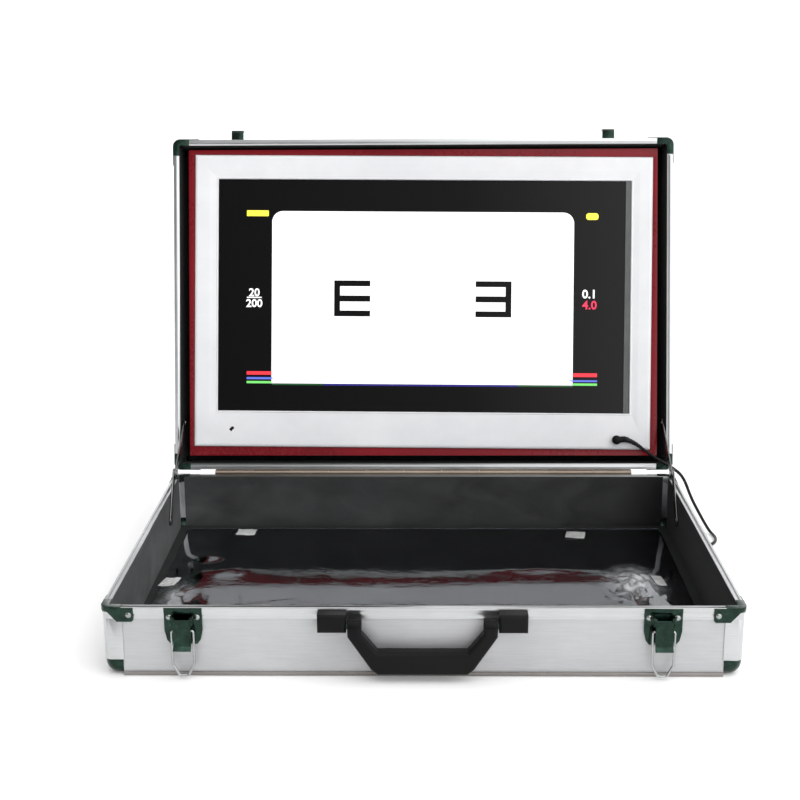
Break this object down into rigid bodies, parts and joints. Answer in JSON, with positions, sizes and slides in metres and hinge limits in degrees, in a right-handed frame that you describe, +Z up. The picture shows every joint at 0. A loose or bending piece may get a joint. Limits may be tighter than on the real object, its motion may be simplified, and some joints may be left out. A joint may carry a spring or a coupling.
{
  "type": "visual acuity chart",
  "caption": "Hinged carry case with a flat chart monitor set in the lid, a lined tray, draw latches, a drop handle, folding stays and a lead.",
  "frame": {"origin": "centre of the base's underside, where the case stands", "axes": "+X to the right across the case, -Y towards the front with latches and handle, +Z up; the lid hinges at +Y"},
  "size_m": [0.6227, 0.546, 0.4498],
  "materials": {
    "silver_panel": "board faced with satin silver laminate",
    "aluminium_profile": "satin anodised extrusion",
    "plated_steel": "bright plated pressed steel",
    "stay_steel": "plated strip steel",
    "grey_lining": "smooth dark grey lining",
    "black_lining": "black lining",
    "clear_film": "clear glossy protective film",
    "tape": "clear adhesive tape",
    "black_plastic": "black moulded plastic and lead sheath",
    "batten_wood": "plain wood",
    "white_plastic": "glossy white moulding",
    "screen_black": "flat screen, unlit black",
    "screen_white": "lit white field",
    "cover_black": "textured black moulding",
    "board_green": "circuit board",
    "dark_gloss": "dark window",
    "red_trim": "board faced in dark red"
  },
  "bodies": {
    "base": {"base_back_panel": "silver_panel", "base_bottom_edges": "aluminium_profile", "base_bottom_panel": "silver_panel", "base_corner_caps": "plated_steel", "base_corner_posts": "aluminium_profile", "base_floor_lining": "grey_lining", "base_front_panel": "silver_panel", "base_left_panel": "silver_panel", "base_right_panel": "silver_panel", "base_rim_brackets": "plated_steel", "base_rims": "aluminium_profile", "base_rivets": "plated_steel", "base_wall_lining": "grey_lining", "film_tapes": "tape", "floor_film": "clear_film", "handle_mounts": "black_plastic", "hinge_base_leaves": "plated_steel", "hinge_pins": "plated_steel", "latch_plates": "plated_steel", "pivot_pins": "plated_steel", "stay_base_rivets": "plated_steel", "lead_upper": "black_plastic", "lead_lower": "black_plastic", "lead_coil": "black_plastic", "power_adapter": "black_plastic"},
    "lid": {"lid_back_lining": "black_lining", "lid_battens": "batten_wood", "lid_catches": "plated_steel", "lid_corner_caps": "plated_steel", "lid_corner_posts": "aluminium_profile", "lid_edges": "aluminium_profile", "lid_rim_brackets": "plated_steel", "lid_rims": "aluminium_profile", "lid_rivets": "plated_steel", "lid_skin_panel": "silver_panel", "lid_wall_lining": "black_lining", "lid_wall_panels": "silver_panel", "hinge_lid_leaves": "plated_steel", "stay_lid_rivets": "plated_steel", "monitor_bezel": "white_plastic", "lcd_panel": "screen_black", "monitor_rear_cover": "cover_black", "monitor_board": "board_green", "sensor_window": "dark_gloss", "dc_jack": "dark_gloss", "dc_plug": "black_plastic", "red_trim": "red_trim", "chart_field": "screen_white", "chart_letters": "screen_black"},
    "lever_left": {"latch_lever_left": "plated_steel"},
    "lever_right": {"latch_lever_right": "plated_steel"},
    "bail_left": {"latch_bail_left": "plated_steel"},
    "bail_right": {"latch_bail_right": "plated_steel"},
    "handle": {"handle_grip": "black_plastic"},
    "stay_lower_left": {"stay_lower_left": "stay_steel"},
    "stay_lower_right": {"stay_lower_right": "stay_steel"},
    "stay_upper_left": {"stay_upper_left": "stay_steel", "stay_elbow_left": "stay_steel"},
    "stay_upper_right": {"stay_upper_right": "stay_steel", "stay_elbow_right": "stay_steel"}
  },
  "joints": [
    {"name": "lid_hinge", "type": "hinge", "parent": "base", "child": "lid", "pos_m": [0, 0.194, 0.0673], "axis": [1, 0, 0], "range_deg": [0, 103.75], "deforming": ["lead_upper"]},
    {"name": "lever_left_pivot", "type": "hinge", "parent": "base", "child": "lever_left", "pos_m": [-0.2135, -0.1965, 0.056], "axis": [-1, 0, 0], "range_deg": [0, 120]},
    {"name": "bail_left_pivot", "type": "hinge", "parent": "lever_left", "child": "bail_left", "pos_m": [-0.2135, -0.1965, 0.047], "axis": [-1, 0, 0], "range_deg": [-120, 0]},
    {"name": "stay_lower_left_pivot", "type": "hinge", "parent": "base", "child": "stay_lower_left", "pos_m": [-0.279, 0.112, 0.038], "axis": [1, 0, 0], "range_deg": [0, 115.47]},
    {"name": "stay_upper_left_pivot", "type": "hinge", "parent": "lid", "child": "stay_upper_left", "pos_m": [-0.277, 0.21818, 0.12068], "axis": [1, 0, 0], "range_deg": [-112.77, 0]},
    {"name": "lever_right_pivot", "type": "hinge", "parent": "base", "child": "lever_right", "pos_m": [0.2135, -0.1965, 0.056], "axis": [-1, 0, 0], "range_deg": [0, 120]},
    {"name": "bail_right_pivot", "type": "hinge", "parent": "lever_right", "child": "bail_right", "pos_m": [0.2135, -0.1965, 0.047], "axis": [-1, 0, 0], "range_deg": [-120, 0]},
    {"name": "stay_lower_right_pivot", "type": "hinge", "parent": "base", "child": "stay_lower_right", "pos_m": [0.279, 0.112, 0.038], "axis": [1, 0, 0], "range_deg": [0, 115.47]},
    {"name": "stay_upper_right_pivot", "type": "hinge", "parent": "lid", "child": "stay_upper_right", "pos_m": [0.277, 0.21818, 0.12068], "axis": [1, 0, 0], "range_deg": [-112.77, 0]},
    {"name": "handle_pivot", "type": "hinge", "parent": "base", "child": "handle", "pos_m": [0, -0.1985, 0.0535], "axis": [-1, 0, 0], "range_deg": [0, 105]}
  ],
  "couplings": [
    {"joint": "bail_left_pivot", "follows": "lever_left_pivot", "ratio": -1},
    {"joint": "stay_lower_left_pivot", "follows": "lid_hinge", "ratio": 1.112},
    {"joint": "stay_upper_left_pivot", "follows": "lid_hinge", "ratio": -1.086},
    {"joint": "bail_right_pivot", "follows": "lever_right_pivot", "ratio": -1},
    {"joint": "stay_lower_right_pivot", "follows": "lid_hinge", "ratio": 1.112},
    {"joint": "stay_upper_right_pivot", "follows": "lid_hinge", "ratio": -1.086}
  ]
}
